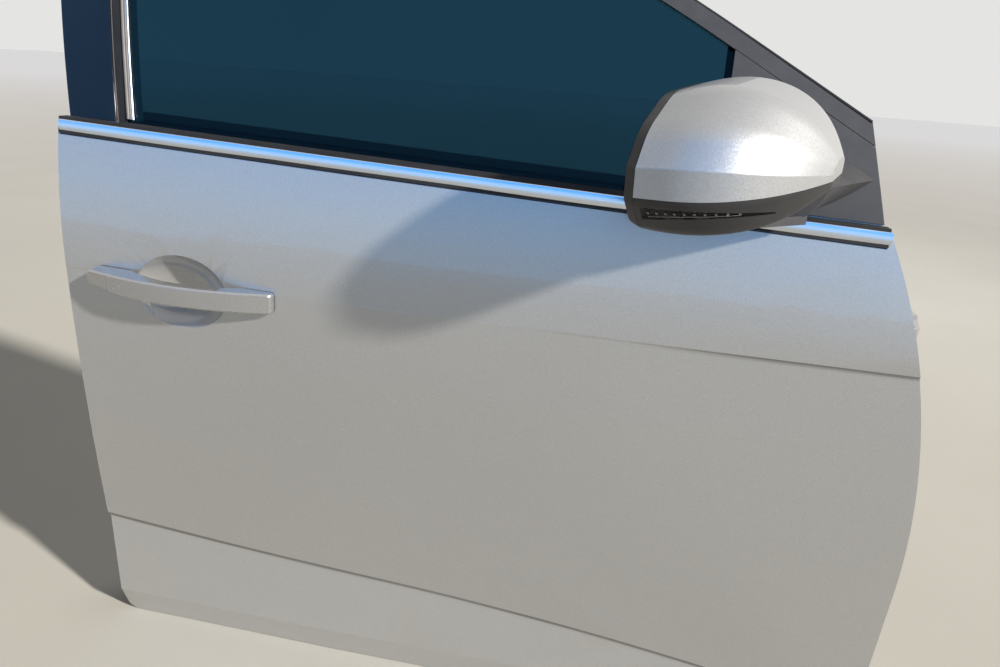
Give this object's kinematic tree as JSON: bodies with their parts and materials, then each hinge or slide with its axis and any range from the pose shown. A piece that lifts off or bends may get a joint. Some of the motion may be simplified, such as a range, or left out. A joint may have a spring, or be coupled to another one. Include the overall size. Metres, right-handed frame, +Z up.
{
  "type": "right-hand front door of an estate car",
  "caption": "Hinged front door of an estate car with framed window, bright waist strip, folding door mirror, pull handle, inside trim and latch.",
  "frame": {"origin": "centre of the four hinge bolts, on the face of the hinge pillar, with the door closed", "axes": "+X to the front of the car, +Y into the car, +Z up"},
  "size_m": [1.1095, 0.3948, 1.1206],
  "materials": {
    "paint_skin": "fine-flake silver lacquer",
    "paint_inner": "silver paint, satin",
    "hinge_steel": "painted over, satin",
    "latch_steel": "zinc plated",
    "bright_strip": "polished",
    "mirror_paint": "fine-flake silver lacquer",
    "handle_paint": "silver lacquer",
    "black_gloss": "gloss",
    "dark_plastic": "fine grain",
    "rubber_seals": "matte",
    "glass": "green tinted",
    "lamp_lens": "smoked clear",
    "mirror": "polished",
    "card_dark": "grained",
    "armrest_skin": "soft touch",
    "grille_dark": "perforated",
    "trim_satin": "satin",
    "switch_black": "satin"
  },
  "bodies": {
    "pillar": {"hinge_pillar_leaf_upper": "hinge_steel", "hinge_pillar_leaf_lower": "hinge_steel"},
    "door": {"armrest": "armrest_skin", "door_card": "card_dark", "frame_moulding": "dark_plastic", "glass_channel": "rubber_seals", "handle_bar": "handle_paint", "handle_lock_cap": "handle_paint", "handle_pad_front": "rubber_seals", "handle_pad_rear": "rubber_seals", "hinge_door_leaf_lower": "hinge_steel", "hinge_door_leaf_upper": "hinge_steel", "inner_glass_seal": "rubber_seals", "inner_panel": "paint_inner", "latch": "latch_steel", "mirror_foot": "dark_plastic", "outer_glass_seal": "rubber_seals", "outer_skin": "paint_skin", "pillar_cover": "black_gloss", "release_bezel": "trim_satin", "release_lever": "trim_satin", "sail_lining": "card_dark", "sail_panel": "dark_plastic", "speaker_grille": "grille_dark", "waist_roll": "card_dark", "waist_strip": "bright_strip", "weather_seal": "rubber_seals", "window_frame": "paint_inner", "window_glass": "glass", "window_switches": "switch_black"},
    "mirror_head": {"mirror_cap": "mirror_paint", "mirror_case": "dark_plastic", "mirror_lamp": "lamp_lens", "mirror_bezel": "dark_plastic", "mirror_glass": "mirror"}
  },
  "joints": [
    {"name": "door_swing", "type": "hinge", "parent": "pillar", "child": "door", "pos_m": [-0.02, -0.066, 0], "axis": [0, 0, 1], "range_deg": [0, 70]},
    {"name": "mirror_fold", "type": "hinge", "parent": "door", "child": "mirror_head", "pos_m": [-0.23623, -0.15527, 0.323], "axis": [0, 0, -1], "range_deg": [0, 55]}
  ]
}
